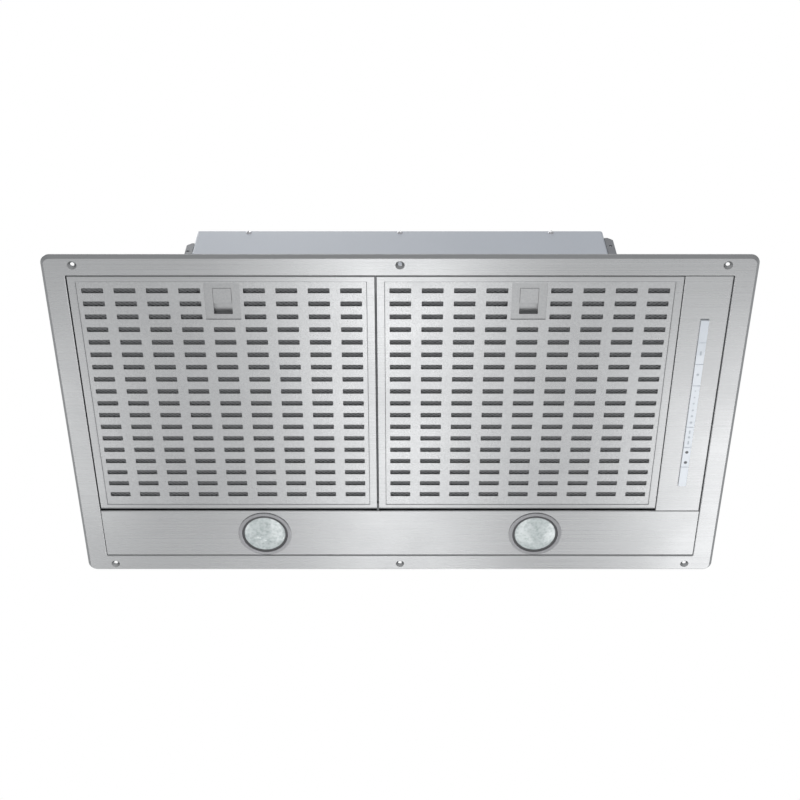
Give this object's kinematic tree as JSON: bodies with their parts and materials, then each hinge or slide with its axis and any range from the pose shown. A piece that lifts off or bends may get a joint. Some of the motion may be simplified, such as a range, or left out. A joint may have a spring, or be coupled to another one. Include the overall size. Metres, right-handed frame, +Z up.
{
  "type": "built-in extractor hood",
  "caption": "Flanged brushed-steel extractor insert with hinged slotted grease filters, a key strip, round lamps, and a boxed blower with an exhaust collar and flaps.",
  "frame": {"origin": "centre of the flange's seating plane, where it meets the underside of the cabinet", "axes": "+Z up into the cabinet, +X along the long edge towards the control panel, -Y towards the user"},
  "size_m": [0.88, 0.5, 0.2962],
  "materials": {
    "brushed_steel": "fine brushing along X, satin",
    "filter_steel": "fine matt grain, satin",
    "trim_steel": "turned, satin",
    "screw_steel": "bright zinc plate",
    "galvanised_sheet": "zinc coat, faint spangle",
    "painted_box": "blue-grey, semi-matt",
    "dark_steel": "dark, semi-gloss",
    "mesh_aluminium": "expanded metal mesh",
    "cast_aluminium": "cast, dull",
    "bronze": "sintered bronze",
    "reflector": "vapour-coated, hammered",
    "lens_glass": "pebbled underside",
    "strip_gloss": "high gloss, pale",
    "grey_plastic": "fine texture",
    "black_plastic": "fine texture",
    "black_rubber": "matt",
    "foam": "closed-cell foam",
    "circuit_board": "solder mask"
  },
  "bodies": {
    "housing": {"flange_plate": "brushed_steel", "seal_gasket": "foam", "plenum_tray": "galvanised_sheet", "divider_bar": "brushed_steel", "hinge_rail": "galvanised_sheet", "blower_box": "painted_box", "box_lid": "painted_box", "left_hanger": "dark_steel", "right_hanger": "dark_steel", "dome_screws": "screw_steel", "terminal_box": "grey_plastic", "terminal_cover": "grey_plastic", "cable_gland": "black_plastic", "light_panel": "brushed_steel", "lamp_left_trim": "trim_steel", "lamp_right_trim": "trim_steel", "lamp_left_lens": "lens_glass", "lamp_right_lens": "lens_glass", "lamp_seals": "black_rubber", "lamp_reflectors": "reflector", "lamp_housings": "cast_aluminium", "lamp_clips": "screw_steel", "control_panel": "brushed_steel", "key_carrier": "strip_gloss", "display_window": "strip_gloss", "key_mat": "black_rubber", "control_board": "circuit_board", "scroll_casing": "galvanised_sheet", "scroll_cover": "galvanised_sheet", "inlet_rings": "black_plastic", "motor_housing": "cast_aluminium", "motor_bearings": "bronze", "motor_bracket": "dark_steel", "capacitor": "grey_plastic", "exhaust_collar": "black_plastic", "damper_pin": "screw_steel"},
    "impeller": {"impeller_wheel": "black_plastic", "motor_shaft": "screw_steel"},
    "flap_front": {"flap_front": "grey_plastic"},
    "flap_rear": {"flap_rear": "grey_plastic"},
    "power_key": {"power_key": "strip_gloss"},
    "light_key": {"light_key": "strip_gloss"},
    "fan_key": {"fan_key": "strip_gloss"},
    "timer_key": {"timer_key": "strip_gloss"},
    "filter_left": {"filter_left_frame": "filter_steel", "filter_left_grille": "filter_steel", "filter_left_mesh": "mesh_aluminium", "filter_left_back_grille": "mesh_aluminium", "filter_left_hinge_pegs": "screw_steel", "filter_left_latch_pocket": "filter_steel", "latch_left_spring": "screw_steel"},
    "latch_left": {"latch_left_slider": "filter_steel"},
    "filter_right": {"filter_right_frame": "filter_steel", "filter_right_grille": "filter_steel", "filter_right_mesh": "mesh_aluminium", "filter_right_back_grille": "mesh_aluminium", "filter_right_hinge_pegs": "screw_steel", "filter_right_latch_pocket": "filter_steel", "latch_right_spring": "screw_steel"},
    "latch_right": {"latch_right_slider": "filter_steel"}
  },
  "joints": [
    {"name": "filter_left_hinge", "type": "hinge", "parent": "housing", "child": "filter_left", "pos_m": [-0.2206, 0.1364, 0.0012], "axis": [1, 0, 0], "range_deg": [0, 80]},
    {"name": "filter_right_hinge", "type": "hinge", "parent": "housing", "child": "filter_right", "pos_m": [0.1604, 0.1364, 0.0012], "axis": [1, 0, 0], "range_deg": [0, 80]},
    {"name": "latch_left_slide", "type": "slide", "parent": "filter_left", "child": "latch_left", "axis": [0, 1, 0], "range_m": [0, 0.007], "stiffness_N_per_m": 400, "springref_m": -0.006, "deforming": ["latch_left_spring"]},
    {"name": "latch_right_slide", "type": "slide", "parent": "filter_right", "child": "latch_right", "axis": [0, 1, 0], "range_m": [0, 0.007], "stiffness_N_per_m": 400, "springref_m": -0.006, "deforming": ["latch_right_spring"]},
    {"name": "impeller_spin", "type": "hinge", "parent": "housing", "child": "impeller", "pos_m": [0, -0.04, 0.141], "axis": [1, 0, 0], "continuous": true},
    {"name": "flap_rear_hinge", "type": "hinge", "parent": "housing", "child": "flap_rear", "pos_m": [0, 0.01, 0.2485], "axis": [1, 0, 0], "range_deg": [0, 78]},
    {"name": "flap_front_hinge", "type": "hinge", "parent": "housing", "child": "flap_front", "pos_m": [0, 0.01, 0.2485], "axis": [-1, 0, 0], "range_deg": [0, 78]},
    {"name": "power_key_press", "type": "slide", "parent": "housing", "child": "power_key", "axis": [0, 0, 1], "range_m": [0, 0.001], "stiffness_N_per_m": 300, "springref_m": -0.004},
    {"name": "light_key_press", "type": "slide", "parent": "housing", "child": "light_key", "axis": [0, 0, 1], "range_m": [0, 0.001], "stiffness_N_per_m": 300, "springref_m": -0.004},
    {"name": "fan_key_press", "type": "slide", "parent": "housing", "child": "fan_key", "axis": [0, 0, 1], "range_m": [0, 0.001], "stiffness_N_per_m": 300, "springref_m": -0.004},
    {"name": "timer_key_press", "type": "slide", "parent": "housing", "child": "timer_key", "axis": [0, 0, 1], "range_m": [0, 0.001], "stiffness_N_per_m": 300, "springref_m": -0.004}
  ]
}
